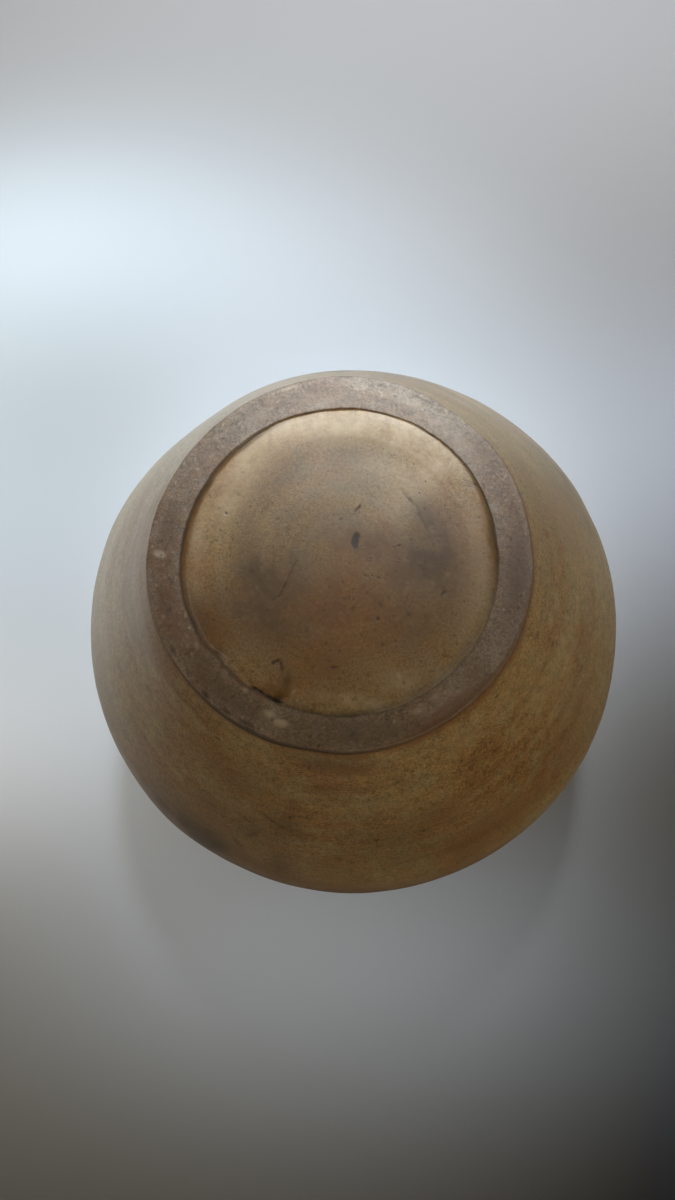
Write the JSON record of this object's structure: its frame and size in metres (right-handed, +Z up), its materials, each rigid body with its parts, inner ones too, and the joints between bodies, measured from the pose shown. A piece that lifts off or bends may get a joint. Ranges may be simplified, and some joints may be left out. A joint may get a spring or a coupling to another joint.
{
  "type": "stoneware jar",
  "caption": "Round-bellied stoneware jar without a lid: flat bare foot ring, shallow recess, flared wall, rounded shoulder, short neck and rolled lip, satin olive-brown glaze.",
  "frame": {"origin": "centre of the flat face of the foot ring, on the ground", "axes": "+Z up along the jar's turning axis, from the foot to the mouth; X and Y are arbitrary on a turned pot"},
  "size_m": [0.1804, 0.1804, 0.1572],
  "materials": {
    "bare_clay": "unglazed purplish-grey fired clay, matte, with kiln grit",
    "thin_glaze": "thin satin tan glaze, smudged and pitted",
    "body_glaze": "satin olive-brown glaze with fine turning lines and stains"
  },
  "bodies": {
    "root": {"foot_ring": "bare_clay", "base_slab": "thin_glaze", "lower_body": "body_glaze", "upper_body": "body_glaze", "neck_collar": "body_glaze", "rolled_lip": "body_glaze"}
  },
  "joints": []
}
